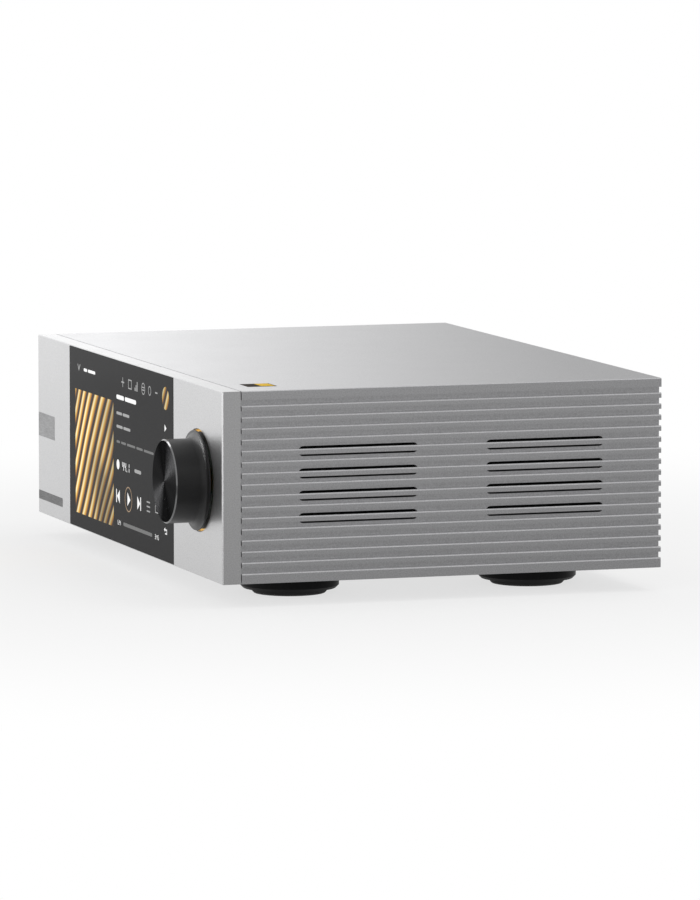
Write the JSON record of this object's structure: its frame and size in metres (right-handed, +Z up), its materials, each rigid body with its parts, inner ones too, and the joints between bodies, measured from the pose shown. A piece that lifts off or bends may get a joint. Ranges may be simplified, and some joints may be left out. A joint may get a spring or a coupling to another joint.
{
  "type": "network music streamer",
  "caption": "Compact network music streamer with a ribbed metal casing, a full-height touch display, a push-and-turn knob in a lit ring, round feet and rear sockets.",
  "frame": {"origin": "centre of the footprint, on the surface that the pads stand on", "axes": "+X to the right seen from the front, the display faces -Y, +Z up"},
  "size_m": [0.27, 0.2102, 0.0871],
  "materials": {
    "silver_casing": "fine bead-blasted, clear anodised",
    "silver_panel": "fine bead-blasted, clear anodised, bright cut edges",
    "silver_rear": "satin anodised plate",
    "grey_sheet": "matt powder coat",
    "zinc_sheet": "zinc-plated sheet",
    "black_screw": "black oxide",
    "steel": "bright zinc",
    "cover_glass": "polished black-backed glass",
    "display_unit": "dark module in a tin frame",
    "circuit_board": "solder mask",
    "ribbon": "flat white ribbon",
    "amber_light": "translucent lit diffuser",
    "black_knob": "black anodised, spun face and polished rim",
    "black_plastic": "fine moulded texture",
    "white_plastic": "plain moulded",
    "shutter_plastic": "plain moulded",
    "rocker_plastic": "satin moulded",
    "foot_black": "satin black",
    "pad_rubber": "matt",
    "brass_nut": "turned",
    "sink_black": "black anodised fins",
    "capacitor_blue": "printed sleeve with no words",
    "capacitor_black": "shrink sleeve",
    "transformer": "tape over a ferrite core",
    "xlr_black": "black shell, bright pins",
    "gold_jack": "gold plated",
    "tin_shell": "bright tinned shell"
  },
  "bodies": {
    "chassis": {"casing": "silver_casing", "front_panel": "silver_panel", "rear_panel": "silver_rear", "bottom_tray": "grey_sheet", "display_bracket": "zinc_sheet", "case_screws": "black_screw", "foot_screws": "steel", "foot_nuts": "steel", "board_screws": "steel", "display_glass": "cover_glass", "display_module": "display_unit", "display_board": "circuit_board", "ring_board": "circuit_board", "encoder_board": "circuit_board", "main_board": "circuit_board", "audio_board": "circuit_board", "supply_board": "circuit_board", "jack_board": "circuit_board", "display_ribbon": "ribbon", "light_ring": "amber_light", "encoder_body": "black_plastic", "processor": "black_plastic", "optical_in": "black_plastic", "optical_out": "black_plastic", "mains_inlet": "black_plastic", "switch_housing": "black_plastic", "foot_front_left": "foot_black", "foot_front_right": "foot_black", "foot_rear_left": "foot_black", "foot_rear_right": "foot_black", "pad_front_left": "pad_rubber", "pad_front_right": "pad_rubber", "pad_rear_left": "pad_rubber", "pad_rear_right": "pad_rubber", "encoder_nut": "brass_nut", "spacers": "brass_nut", "heat_sink": "sink_black", "audio_capacitors": "capacitor_blue", "supply_capacitors": "capacitor_black", "supply_transformer": "transformer", "xlr_left": "xlr_black", "xlr_right": "xlr_black", "rca_left": "gold_jack", "rca_right": "gold_jack", "coax_in": "gold_jack", "coax_out": "gold_jack", "antenna_left": "gold_jack", "antenna_right": "gold_jack", "network_socket": "tin_shell", "usb_sockets": "tin_shell", "video_socket": "tin_shell"},
    "push_carriage": {"push_plunger": "white_plastic"},
    "knob": {"knob": "black_knob", "encoder_shaft": "steel", "knob_set_screw": "steel"},
    "rocker": {"rocker": "rocker_plastic"},
    "shutter_in": {"shutter_in": "shutter_plastic"},
    "shutter_out": {"shutter_out": "shutter_plastic"}
  },
  "joints": [
    {"name": "knob_push", "type": "slide", "parent": "chassis", "child": "push_carriage", "axis": [0, 1, 0], "range_m": [0, 0.0005], "stiffness_N_per_m": 4000},
    {"name": "knob_turn", "type": "hinge", "parent": "push_carriage", "child": "knob", "pos_m": [0.102, -0.0909, 0.04835], "axis": [0, -1, 0], "continuous": true},
    {"name": "power_switch", "type": "hinge", "parent": "chassis", "child": "rocker", "pos_m": [-0.1053, 0.0944, 0.0656], "axis": [1, 0, 0], "range_deg": [0, 16]},
    {"name": "shutter_in_swing", "type": "hinge", "parent": "chassis", "child": "shutter_in", "pos_m": [0.004, 0.0945, 0.03865], "axis": [-1, 0, 0], "range_deg": [0, 80], "stiffness_Nm_per_rad": 0.0005},
    {"name": "shutter_out_swing", "type": "hinge", "parent": "chassis", "child": "shutter_out", "pos_m": [0.004, 0.0945, 0.06265], "axis": [-1, 0, 0], "range_deg": [0, 80], "stiffness_Nm_per_rad": 0.0005}
  ]
}
